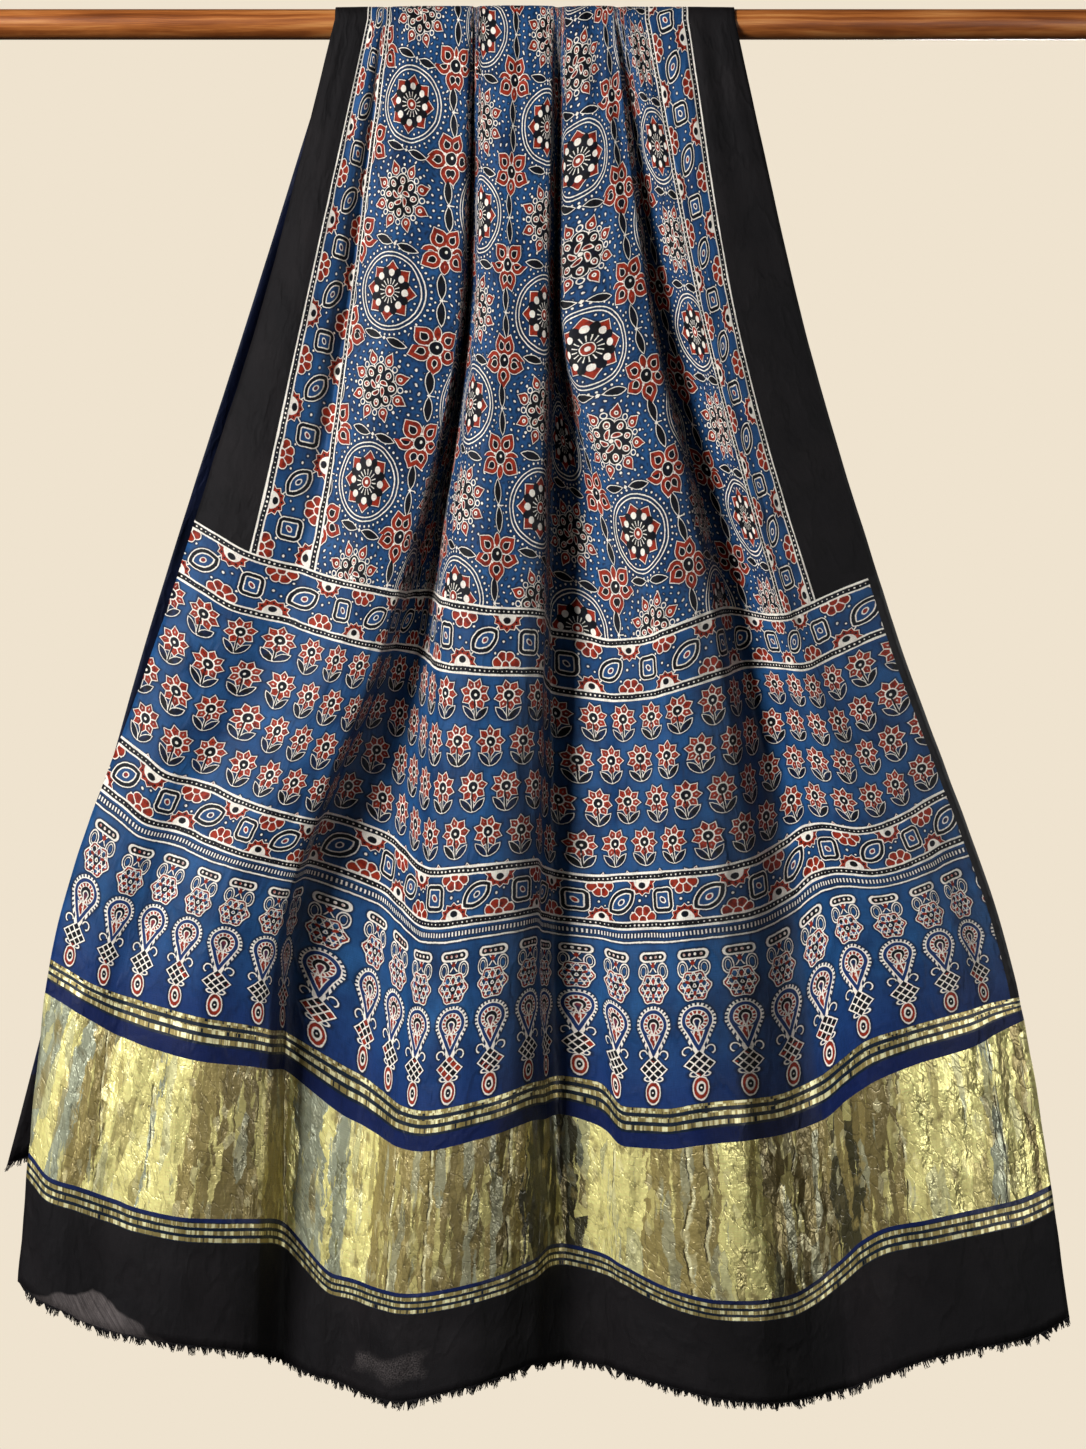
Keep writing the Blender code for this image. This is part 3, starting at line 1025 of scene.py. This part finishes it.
def lay_band(ink, run, off, half):
    """Lay slanted and square eyes with half flowers on both sides, between two beaded lines."""
    edge = half - BEADING_DEPTH
    half_pitch = BAND_PITCH / 2
    square_cell = whole(run / BAND_PITCH) % 2
    x = run % BAND_PITCH - half_pitch
    y = off * (1 - square_cell * 2)
    slant = (x + y) * SLOPE
    cross = (x - y) * SLOPE
    square = length(most(abs(x) - 4.6, 0.0), most(abs(y) - 5.6, 0.0)) - 6.6
    slanted = lens(slant * 0.99 + cross * 0.14, cross * 0.99 - slant * 0.14, 17.0, 10.8)
    eye = least(slanted + square_cell * FAR, square + (1 - square_cell) * FAR)
    link = most(abs(cross) - 0.6, abs(slant) - 21)

    # A half flower and a notched crown face each other between the eyes
    next_run = run + half_pitch
    nx = next_run % BAND_PITCH - half_pitch
    ny = off * (1 - (whole(next_run / BAND_PITCH) % 2) * 2)
    fan_radius = length(nx, edge - ny)
    fan_x, fan_y = sector(nx, edge - ny, 8, math.pi / 8)
    fan_petal = length(fan_x - 9.4, fan_y) - 4.4
    fan_gap = between(fan_x, fan_y, 8)[1]
    crown_radius = length(nx, edge + ny)
    crown_x, crown_y = sector(nx, edge + ny, 12)
    crown = crown_x + crown_y * 0.95 - 14.0
    speck = least(length(nx + 3, ny) - 1.2, length(nx - 4, ny + 4) - 0.9)
    speck = least(speck, length(slant, abs(cross) - 15.4) - 1.0)

    outlines = least(eye, link, fan_petal - 0.9, fan_radius - 8.0, crown - 0.9, speck)
    ink.outline(outlines)
    zigzag = most(crown, 8.4 - crown_radius)
    fan_core = length(nx, edge - ny - 1.4) - 3.4
    ink.lay(ink.red, least(most(fan_petal, 0.55 - fan_gap), zigzag))
    ink.lay(CREAM, fan_core - 0.9)
    ink.lay(ink.red, fan_core)
    core = oval(nx, edge + ny - 4.2, 3.6, 3.0)
    zigzag_seeds = length(crown_x - 10.6, crown_y) - 1.0
    ink.lay(ink.black, least(eye + 1.0, core, zigzag_seeds))
    ink.lay(BLUE, eye + 5.4)
    pupil = oval(slant, cross, 3.8, 2.6)
    ink.lay(CREAM, least(abs(eye + 4.8) - 0.6, pupil))
    ink.lay(ink.mottled(DEEP_BLUE, RED, 14, 77.0), pupil + 0.9)
    lay_beading(ink, half - abs(off), run)


def lay_sprigs(ink):
    """Lay staggered rows of small upright flower sprigs."""
    s = ink.shaken_end() - (LOWER_BAND_TOP + 3)
    half_pitch = SPRIG_PITCH / 2
    row = whole(s / SPRIG_ROW)
    place = ink.across + (row % 2) * half_pitch
    x = (place % SPRIG_PITCH - half_pitch) / 1.1
    y = s % SPRIG_ROW - SPRIG_ROW / 2
    turn = work("SINE", row * 2.3 + whole(place / SPRIG_PITCH) * 1.9) * 0.3
    fx, fy = sector(x, y - 5.4, 8, turn)
    radius = length(x, y - 5.4)
    blossom = petal(fx, fy, 7.7, 3.9, 13.9)
    gap = between(fx, fy, 8)[1]
    stem = most(abs(x + (y + 10) * 0.08) - 0.8, abs(y + 7) - 9)
    lx = abs(x) - 6.2
    leaf = lens((lx + y + 11.2) * SLOPE, (lx - y - 11.2) * SLOPE, 8.0, 2.8)
    outlines = least(blossom - 0.65, radius - 5.7, stem - 0.6, leaf - 0.65)
    ink.outline(outlines)
    ink.lay(ink.red, most(blossom, 5.9 - radius, 0.55 - gap))
    ink.lay(ink.black, least(radius - 4.6, stem))
    ink.lay(ink.mottled(PRINT_BLACK, DEEP_BLUE, 12, 76.0), leaf)
    seed = petal(fx, fy, 8.8, 0.7, 10.8)
    centre = length(x + work("SINE", row * 4.1) * 0.6, y - 5.0)
    ink.lay(CREAM, centre - 1.3)
    ink.lay(ink.mottled(DEEP_RED, CREAM, 7, 75.0), seed)


def lay_ticks(ink):
    """Lay a row of cream ticks with a thin line under it."""
    s = ink.shaken_end()
    ticks = most(abs(ink.across % TICK_PITCH - TICK_PITCH / 2) - 0.75, abs(s - 447.6) - 2.0)
    ink.outline(least(ticks, abs(s - 441.2) - 0.8))


def lay_pendants(ink):
    """Lay the row of hanging pendants: a panel, a beaded drop, a lattice and an almond."""
    x = ((ink.across - 1.8) % PENDANT_PITCH - PENDANT_PITCH / 2) / 1.15
    y = (ink.shaken_end() - STRIPES_TOP) / 1.09
    wide = abs(x)
    ink.mix(ROYAL_BLUE, clamped(y, -0.014, 1.1))

    # A slotted capsule and loops, over a patterned panel
    capsule = length(most(wide - 8.8, 0.0), y - 129.0) - 4.3
    slot = length(most(wide - 8.0, 0.0), y - 129.0) - 2.7
    slot_dots = most(length(wide % 4.8 - 2.4, y - 129.0) - 1.2, slot)
    loops = abs(oval(wide - 9.2, y - 117.0, 4.4, 6.6))
    inner_loops = abs(oval(wide - 9.2, y - 117.0, 2.4, 4.4)) - 0.35
    crossing = most(abs(wide - abs(y - 120.5) * 0.7) - 0.6, wide - 4.2, abs(y - 120.5) - 4.5)
    spoke_x, spoke_y = sector(x, y - 102, 6, math.pi / 6)
    hub = length(x, y - 102)
    panel = most(spoke_x - 12.0 - spoke_y * 0.16, spoke_x * 0.9 + spoke_y * 0.5 - 14.6)
    mesh_a = abs((x + y * 0.5) % 5.2 - 2.6) - 2.1
    mesh_b = abs((x - y * 0.5) % 5.2 - 2.6) - 2.1
    holes_in_panel = most(panel + 1.0, mesh_a, mesh_b, abs(y % 5.6 - 2.8) - 2.4)
    panel_petals = oval(spoke_x - 6.4, spoke_y, 2.2, 1.3)

    # A drop edged with beads, a lattice of squares between hooks, and an almond
    drop = petal(72 - y, wide, 0, 12.6, 29.5)
    scallop_x, scallop_y = sector(x, y - 72, 26)
    beads = least(abs(drop) - 0.5, most(abs(drop - 1.3) - 1.2, scallop_y - scallop_x * 0.065))
    lattice_half = wide + abs(y - 34) - 11.6
    a = abs((x + y - 34 + 3.87) % 7.74 - 3.87)
    b = abs((x - y + 34 + 3.87) % 7.74 - 3.87)
    squares = most(lattice_half, most(a, b) - 3.05)
    hooks = most(abs(length(wide - 9.0, y - 46) - 3.6) - 0.55, 43.5 - y - (wide - 9) * 0.8)
    lower = abs(oval(wide - 4.6, y - 25.4, 3.0, 1.9)) - 0.5
    almond = oval(y - 13.2, x, 10.8, 6.4)

    outlines = least(capsule, loops - 0.65, inner_loops, crossing, panel, beads, drop + 3.3)
    outlines = least(outlines, lattice_half - 0.7, hooks, lower, almond)
    ink.outline(outlines)
    ink.lay(ink.mottled(PRINT_BLACK, LIGHT_BLUE, 5, 78.0), holes_in_panel)
    ink.lay(ROYAL_BLUE, abs(drop + 2.0) - 1.3)
    ink.lay(ink.black, least(slot, squares))
    ink.lay(ink.mottled(CREAM, RED, 6, 79.0), slot_dots)
    cell_x, cell_y = sector(x, y - 71, 15)
    gap = between(cell_x, cell_y, 15)[1]
    cells = most(abs(drop + 5.4) - 1.3, 0.6 - gap)
    chosen = work("GREATER_THAN", ink.drift + (y % 8) * 0.02, 0.5)
    red_cells = most(squares, 3.4 - abs(x + y - 34), chosen * 9 - 4)
    triangle = most(wide * 1.4 + abs(y - 122) - 3.0, 118 - y)
    rim = most(abs(panel + 1.6) - 0.7, 1.6 - spoke_y)
    ink.lay(ink.red, least(cells, red_cells, abs(almond + 1.9) - 1.0, triangle, rim, panel_petals))
    ink.lay(ink.black, least(drop + 7.2, almond + 4.2, abs(hub - 2.6) - 0.8))
    seed = petal(71 - y, wide, 0, 2.9, 9.0)
    ink.lay(CREAM, least(seed - 0.4, length(x, y - 13.2) - 0.7))
    ink.lay(ink.mottled(DEEP_BLUE, RED, 18, 80.0), seed + 0.7)


def lay_selvedge(ink):
    """Lay the plain black edge along the right side of the cloth."""
    ink.lay(BLACK, SELVEDGE - ink.flat_across)


def woven_stripes(name, middles, half, navy_from=None):
    """Return the material of slubby gold stripes on a dark ground, navy from a line upward."""
    ink = Print(name, TEAL, 0.5)
    s = ink.end_along
    if navy_from is not None:
        ink.lay(NAVY, navy_from - s)
    gold = ink.inside(least(*[abs(s - middle) - half for middle in middles]))
    lane = whole(s / 7.1)
    slub = noise_value(ink.flat_across + lane * 37, lane, 5.0, 0.35, 61.0, 2.0, 0.7)
    ink.mix(DULL_GOLD, gold)
    ink.mix(PALE_GOLD, gold * clamped(slub, 14.0, -7.0))
    ink.mix(TEAL, gold * clamped(slub, -16.0, 6.6))
    return ink.finish(0.36, 0.3, metal=gold * 0.5, crease=0.8)


def gold_tissue(name):
    """Return the crumpled gold tissue, whose dull and bluish patches, lighter panels and glints are
    painted reflections, with painted shade in its valleys and creases and a painted highlight beside
    the crease lines.
    """
    ink = Print(name, GOLD, 0.5)
    u = ink.flat_across
    s = ink.flat_along
    ragged = ink.noise(9, 16, 30.0, 3.0, 0.65) - 0.5
    broken = ink.noise(9, 18, 38.0, 2.0)
    wander = ink.noise(60, 60, 29.0, 1.0) - 0.5
    lean = most(1 - u / 300, 0.0) * (s - 177) * -0.25
    facet = Facets(u + ragged * 8 + lean, s + wander * 30, 8, 52)
    small = Facets(u + ragged * 5, s + ragged * 8, 5, 13)
    # Each panel's tone is painted light: lighter panels stand for highlights, the darkest for shade in
    # the valleys, and the rest for duller and bluish reflections
    tones = {"highlit": GOLD, "dull": DULL_GOLD, "olive": OLD_GOLD, "grey": GREY_GOLD, "valley_shade": VALLEY_SHADE_GOLD}
    panels = [(across / CLOTH_WIDTH, tones[tone]) for across, tone, _ in GOLD_PANELS]
    place = u + lean + wander * 16 + ragged * 10 + (facet.first - 0.5) * 7 + (small.first - 0.5) * 4
    ink.colour = ramped(place / CLOTH_WIDTH, panels, "CONSTANT")
    # Painted reflections: each crushed facet gets a duller, grey or lighter tone, with small painted
    # glints and darker flecks, as foil catches the light in patches
    ink.mix(DULL_GOLD, work("LESS_THAN", facet.second, 0.14) * 0.6)
    ink.mix(GREY_GOLD, work("LESS_THAN", abs(facet.second - 0.22), 0.05) * 0.5)
    ink.mix(GOLD, work("GREATER_THAN", facet.second + small.second * 0.2, 1.0) * 0.45)
    ink.mix(OLD_GOLD, work("LESS_THAN", small.first, 0.14) * 0.18)
    ink.mix(PALE_GOLD, work("GREATER_THAN", small.first, 0.92) * 0.25)

    crush = ink.noise(15, 26, 31.0, 3.0, 0.55)
    streaks = noise_value(u + ragged * 10, s, 7, 75, 32.0, 2.0, 0.6)
    weave = ink.noise(14, 0.9, 33.0, 1.0)
    # Painted reflections along the streaks and over the crumples: lighter, bluish grey or duller
    ink.mix(GOLD, clamped(streaks, 12.0, -7.2) * 0.85)
    ink.mix(DULL_GOLD, clamped(crush, -9.0, 3.7) * 0.85)
    ink.mix(GREY_GOLD, clamped(streaks, -14.0, 4.9) * 0.7)
    # Painted shade along the crease lines and thin crumple creases, a painted highlight beside each
    # crease line, and painted crumple and facet shade mixed with the weave's tone
    thin_crease = abs(noise_value(u + s * 0.5, s, 14, 30, 37.0, 2.0) - 0.5)
    bent = u + ragged * 6 + wander * 16
    line = least(*[abs(bent - across) for across in GOLD_CREASES])
    lit = least(*[abs(bent - across - 1.9) for across in GOLD_CREASES])
    gaps = clamped(broken, 8.0, -3.3)
    ink.mix(PALE_GOLD, clamped(lit, -0.9, 1.5) * gaps * 0.8)
    dark = clamped(line, -1.4, 1.3) * gaps
    dark = most(dark, most(1 - thin_crease * 45, 0.0) * 0.45)
    level = (crush - 0.5) * 0.5 + (weave - 0.5) * 0.5 + (small.second - 0.5) * 0.1 + 1.03
    ink.shade((1 - dark * 0.85) * level)
    ink.tree.links.new(ink.colour, ink.shader.inputs["Base Color"])
    ink.shader.inputs["Metallic"].default_value = 0.3
    ink.shader.inputs["Roughness"].default_value = 0.38
    height = crush * 2.0 + streaks * 1.2 + weave * 0.12 - dark * 0.6
    add_bump(height + facet.slope * 5.0 + small.slope * 1.6)
    return ink.material


def black_cloth(name):
    """Return the plain black cloth of the borders and ends, thin and greyish near the hem."""
    ink = Print(name, BLACK)
    u = ink.flat_across
    s = ink.end_along
    ink.patchy(SOFT_BLACK, 90, 60, 41.0, 0.5)
    thin = most(1 - abs(u - 88) / 88, 0.0)
    strand = noise_value(u + s, s, 1.4, 30, 43.0, 2.0)
    drift = noise_value(u, s, 40, 30, 44.0, 2.0)
    reach = thin * 30 + drift * 26 - 17
    sheer = clamped(reach - s, 0.35, 0.5)
    front = work("LESS_THAN", ink.flat_along, 400)
    ink.mix(SHEER_GREY, sheer * front * (thin * 0.75 + 0.12) * (strand * 1.6 - 0.1))
    worn = most(abs(u - 440) - 44, abs(s - 34) - 11) + (drift - 0.5) * 34
    specks = noise_value(u, s, 1.6, 1.6, 45.0, 2.0)
    ink.mix(SHEER_GREY, clamped(worn, -0.1, 0.3) * front * (specks - 0.34))
    return ink.finish(0.7, 0.12, crease=1.1)


def build_palette():
    """Return every zone's material by name."""
    palette = {}
    palette["black end"] = black_cloth("black end")
    palette["lower stripes"] = woven_stripes("lower stripes", (88.6, 94.8, 101), 1.7, 103.6)
    palette["gold tissue"] = gold_tissue("gold tissue")
    palette["navy strip"] = Print("navy strip", NAVY).finish(0.5)
    palette["upper stripes"] = woven_stripes("upper stripes", (267, 275.6, 284.2), 2.35)
    for name, lay_print in (("pendants", lay_pendants), ("ticks", lay_ticks), ("sprigs", lay_sprigs)):
        ink = dyed_blue(name)
        lay_print(ink)
        lay_selvedge(ink)
        palette[name] = ink.finish(0.5)
    cross_band = dyed_blue("cross band")
    upper = work("GREATER_THAN", cross_band.end_along, (LOWER_BAND_MIDDLE + UPPER_BAND_MIDDLE) / 2)
    middle = LOWER_BAND_MIDDLE + upper * (UPPER_BAND_MIDDLE - LOWER_BAND_MIDDLE)
    half = LOWER_BAND_HALF + upper * (UPPER_BAND_HALF - LOWER_BAND_HALF)
    lay_band(cross_band, cross_band.across * 0.896 + 3.3, cross_band.shaken_end() - middle, half)
    lay_selvedge(cross_band)
    palette["cross band"] = cross_band.finish(0.5)
    palette["black border"] = palette["black end"]
    side_band = dyed_blue("side band")
    right = work("GREATER_THAN", side_band.flat_across, CLOTH_WIDTH / 2)
    off = side_band.across - LEFT_BAND_MIDDLE - right * (RIGHT_BAND_MIDDLE - LEFT_BAND_MIDDLE)
    lay_band(side_band, side_band.along, off, SIDE_BAND_HALF)
    palette["side band"] = side_band.finish(0.5)
    field = dyed_blue("field")
    lay_field(field)
    palette["field"] = field.finish(0.5)
    reverse = Print("reverse", REVERSE_NAVY)
    reverse.patchy(SHADOW_BLUE, 60, 60, 51.0)
    reverse_navy = reverse.finish(0.6)
    for name in list(palette):
        palette["reverse " + name] = palette[name] if name == "black end" else reverse_navy
    return palette


def hem_spots(grid, end, before_end, count):
    """Divide a hem evenly; return each spot, the way the cloth runs out there, and its outward way."""
    line = [column[end] for column in grid]
    runs = [(column[end] - column[before_end]).normalized() for column in grid]
    reached = [0.0]
    for a, b in zip(line, line[1:]):
        reached.append(reached[-1] + (b - a).length)
    spots = []
    cell = 0
    for i in range(count):
        stop = reached[-1] * (i + 0.5) / count
        while cell < len(line) - 2 and reached[cell + 1] < stop:
            cell += 1
        t = (stop - reached[cell]) / (reached[cell + 1] - reached[cell])
        spot = line[cell].lerp(line[cell + 1], t)
        beside = (line[cell + 1] - line[cell]).normalized()
        spots.append((spot, runs[cell].lerp(runs[cell + 1], t).normalized(), beside))
    return spots


def build_fringe(name, grid, end, before_end, material):
    """Make the loose warp threads at one end of the cloth, drawn together into uneven tufts."""
    chance = random.Random(name)
    spots = hem_spots(grid, end, before_end, FRINGE_THREADS)
    verts = []
    faces = []
    tuft_left = 0
    for i, (spot, run, beside) in enumerate(spots):
        if tuft_left == 0:
            tuft_size = chance.randint(*TUFT_SIZE)
            tuft_left = tuft_size
            tuft_reach = chance.uniform(*TUFT_REACH)
            tuft_lean = chance.gauss(0, TUFT_LEAN)
            tuft_out = chance.gauss(0, TUFT_OUT)
            tuft_middle = i + tuft_size / 2
        tuft_left -= 1
        out = run.cross(beside)
        reach = tuft_reach * chance.uniform(*THREAD_SHARE)
        stray = chance.random() < STRAY_CHANCE
        pull = 0.0 if stray else chance.uniform(*TUFT_PULL)
        step = (tuft_middle - i) * THREAD_SPACING * pull
        bend = chance.gauss(0, THREAD_BEND) + (chance.gauss(0, STRAY_BEND) if stray else 0)
        sway = chance.gauss(0, THREAD_SWAY)
        first = len(verts)
        for k in range(THREAD_STEPS + 1):
            t = k / THREAD_STEPS
            place = spot + run * (reach * t - THREAD_ROOT)
            place += beside * (step * t + tuft_lean * reach * t + bend * t * t)
            place += out * ((tuft_out * reach + sway) * t)
            thick = THREAD_RADIUS * (1 - THREAD_TAPER * t)
            for side in range(THREAD_SIDES):
                turn = 2 * math.pi * side / THREAD_SIDES
                around = beside * (thick * math.cos(turn)) + out * (thick * math.sin(turn))
                verts.append((place + around) / 1000)
        ring = range(first, first + THREAD_SIDES)
        faces += ring_faces(first, THREAD_SIDES, THREAD_STEPS)
        faces.append(tuple(reversed(ring)))
        faces.append(tuple(corner + THREAD_SIDES * THREAD_STEPS for corner in ring))
    return add_object(name, smooth_mesh(name, verts, faces, [material]))


def thread_material():
    """Return the black of the loose threads, with a few greyer ones."""
    material, tree, shader = new_material("loose threads")
    place = tree.nodes.new("ShaderNodeTexCoord")
    shades = tree.nodes.new("ShaderNodeTexNoise")
    shades.inputs["Scale"].default_value = 900
    tree.links.new(place.outputs["Object"], shades.inputs["Vector"])
    tree.links.new(ramped(Term(tree, shades.outputs[0]), THREAD_TONES), shader.inputs["Base Color"])
    shader.inputs["Roughness"].default_value = 0.8
    shader.inputs["Specular IOR Level"].default_value = 0.1
    return material


def wood_material():
    """Return the polished brown wood of the rod, with its grain along the rod."""
    material, tree, shader = new_material("polished wood")
    place = tree.nodes.new("ShaderNodeTexCoord")
    x, y, z = [part * 1000 for part in parts_of(tree, place.outputs["Object"])]
    bow = noise_value(x, y, 160, 30, 2.0) * 9
    rings = noise_value(x, z + bow + y * 0.35, 260, 5.5, 5.0, 3.0, 0.6)
    pores = noise_value(x, z + y * 0.7, 26, 0.7, 9.0, 2.0)
    broad = noise_value(x, z, 130, 14, 12.0, 1.0)
    level = rings * 0.7 + broad * 0.45 + (pores - 0.5) * 0.22 - 0.06
    tree.links.new(ramped(level, WOOD_TONES), shader.inputs["Base Color"])
    tree.links.new((0.42 - pores * 0.16).socket, shader.inputs["Roughness"])
    shader.inputs["Coat Weight"].default_value = 0.35
    shader.inputs["Coat Roughness"].default_value = 0.3
    add_bump(rings * 0.4 + pores, 0.0002, 0.6)
    return material


def build_camera():
    """Place the camera that gives the photograph's view."""
    data = bpy.data.cameras.new("camera")
    data.sensor_fit = "VERTICAL"
    data.sensor_height = SENSOR_HEIGHT
    data.lens = SENSOR_HEIGHT * CAMERA_DISTANCE / VIEW_HEIGHT
    camera = add_object("camera", data)
    camera.location = (0, -CAMERA_DISTANCE, CAMERA_HEIGHT)
    camera.rotation_euler = (math.radians(90), 0, 0)
    bpy.context.scene.camera = camera


def build_light(name, place, target, size, power, gleam_only=False):
    """Place a soft square light that points at a target."""
    data = bpy.data.lights.new(name, "AREA")
    data.size = size
    data.energy = power
    light = add_object(name, data)
    light.visible_diffuse = not gleam_only
    light.location = place
    light.rotation_euler = (Vector(target) - Vector(place)).to_track_quat("-Z", "Y").to_euler()


def build_studio():
    """Make the pale backdrop and the soft lights."""
    world = bpy.data.worlds.new("studio")
    world.use_nodes = True
    background = world.node_tree.nodes["Background"]
    background.inputs["Color"].default_value = (1.0, 0.95, 0.88, 1)
    background.inputs["Strength"].default_value = 0.03
    bpy.context.scene.world = world
    bpy.context.scene.view_settings.view_transform = "Standard"
    build_light("key", (-2.6, -2.5, 0.5), (0, 0, -0.6), 1.3, 158)
    build_light("fill", (1.2, -4.2, -0.2), (0, 0, -0.7), 1.6, 6)
    build_light("back", (1.6, 3.0, 0.6), (0, 0, -0.6), 1.6, 150)
    build_light("edge", (3.2, 1.0, 0.2), (0, 0, -0.6), 1.0, 30)
    build_light("gleam", (2.4, -2.4, -0.6), (0.35, 0, -1.05), 1.2, 56, gleam_only=True)

    verts = []
    turns = [2 * math.pi * i / STUDIO_SIDES for i in range(STUDIO_SIDES)]
    for radius, height in STUDIO_PROFILE:
        verts += [(radius * math.cos(turn), radius * math.sin(turn), height) for turn in turns]
    faces = ring_faces(0, STUDIO_SIDES, len(STUDIO_PROFILE) - 1)
    faces.append(range(STUDIO_SIDES))
    faces.append(range(len(verts) - STUDIO_SIDES, len(verts)))
    material, tree, _ = new_material("studio cream")
    tree.nodes.clear()
    glow = tree.nodes.new("ShaderNodeEmission")
    glow.inputs["Color"].default_value = STUDIO_CREAM
    output = tree.nodes.new("ShaderNodeOutputMaterial")
    tree.links.new(glow.outputs[0], output.inputs["Surface"])
    sweep = add_object("studio_sweep", smooth_mesh("studio_sweep", verts, faces, [material]))
    sweep.visible_diffuse = False
    sweep.visible_glossy = False
    sweep.visible_shadow = False
    sweep.visible_transmission = False


def main():
    """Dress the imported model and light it."""
    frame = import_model()
    build_camera()
    build_studio()
    frame["nodes"]["rod"].data.materials[0] = wood_material()
    sheet, grid = build_sheet(build_palette())
    threads = thread_material()
    fringes = [
        build_fringe("frayed_front", grid, 0, 1, threads),
        build_fringe("frayed_back", grid, -1, -2, threads),
    ]
    nodes = ("fringe_front", "fringe_back", "cloth")
    slots = ("fringe", "fringe", "cloth")
    for piece, node, slot in zip([*fringes, sheet], nodes, slots):
        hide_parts(node)
        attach(piece, "root")


main()
